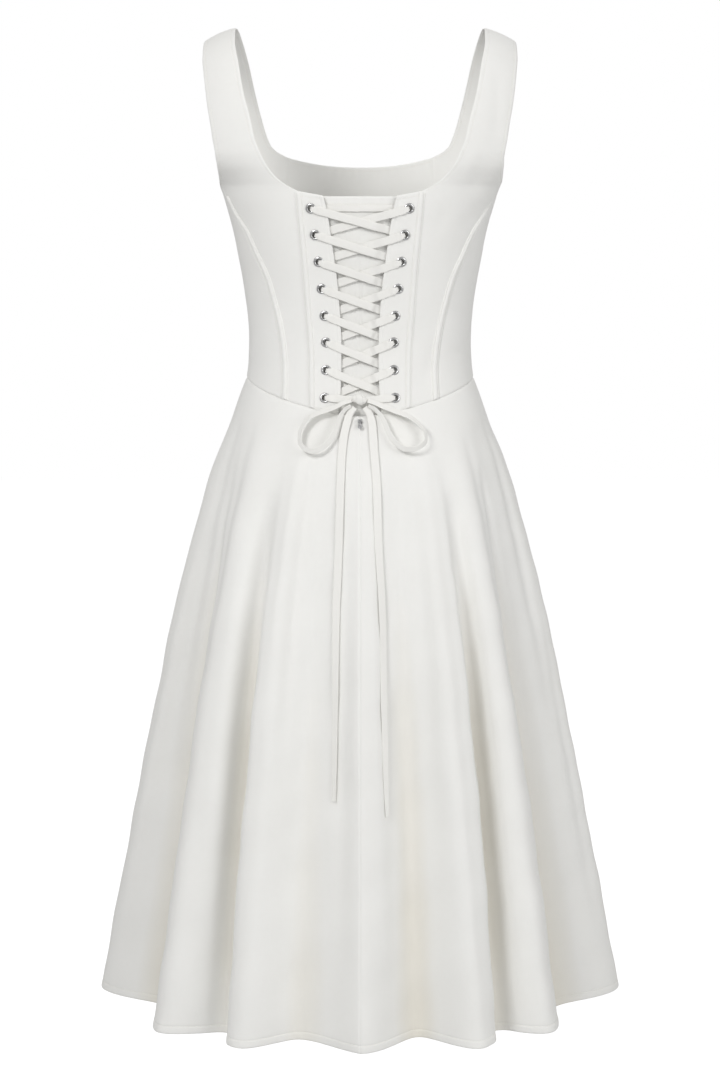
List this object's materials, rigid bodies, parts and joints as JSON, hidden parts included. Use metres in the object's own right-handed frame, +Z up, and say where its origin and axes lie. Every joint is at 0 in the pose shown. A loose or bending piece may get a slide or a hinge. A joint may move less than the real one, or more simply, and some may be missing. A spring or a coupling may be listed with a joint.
{
  "type": "corset dress",
  "caption": "Hollow sleeveless corset dress with wide straps, a laced back tied in a bow, and a full skirt with soft flutes; the zip's pull swings on its slider.",
  "frame": {"origin": "halfway between the tops of the shoulder straps, where the wearer's shoulders carry the dress", "axes": "+Z up; the laced back faces -Y; +X is to the right in the view from the back"},
  "size_m": [0.594, 0.5259, 1.083],
  "materials": {
    "cloth": "matt ivory woven cloth",
    "lace_tape": "matt ivory self-fabric tape",
    "metal": "polished silver-coloured metal"
  },
  "bodies": {
    "dress": {"back_panel_left": "cloth", "back_panel_right": "cloth", "band_channel_left": "cloth", "band_channel_right": "cloth", "bow_knot": "lace_tape", "bow_loop_left": "lace_tape", "bow_loop_right": "lace_tape", "eyelet_left_1": "metal", "eyelet_left_2": "metal", "eyelet_left_3": "metal", "eyelet_left_4": "metal", "eyelet_left_5": "metal", "eyelet_left_6": "metal", "eyelet_left_7": "metal", "eyelet_left_8": "metal", "eyelet_right_1": "metal", "eyelet_right_2": "metal", "eyelet_right_3": "metal", "eyelet_right_4": "metal", "eyelet_right_5": "metal", "eyelet_right_6": "metal", "eyelet_right_7": "metal", "eyelet_right_8": "metal", "front_centre": "cloth", "front_side_left": "cloth", "front_side_right": "cloth", "lace_from_left": "lace_tape", "lace_from_right": "lace_tape", "lace_tail_left": "lace_tape", "lace_tail_right": "lace_tape", "lacing_band_left": "cloth", "lacing_band_right": "cloth", "modesty_panel": "cloth", "seam_channel_left": "cloth", "seam_channel_right": "cloth", "side_back_left": "cloth", "side_back_right": "cloth", "skirt_back_left": "cloth", "skirt_back_right": "cloth", "skirt_front": "cloth", "zip_slider": "metal"},
    "pull": {"zip_pull": "metal"}
  },
  "joints": [
    {"name": "pull_hinge", "type": "hinge", "parent": "dress", "child": "pull", "pos_m": [0, -0.10108, -0.42759], "axis": [-1, 0, 0], "range_deg": [0, 150]}
  ]
}
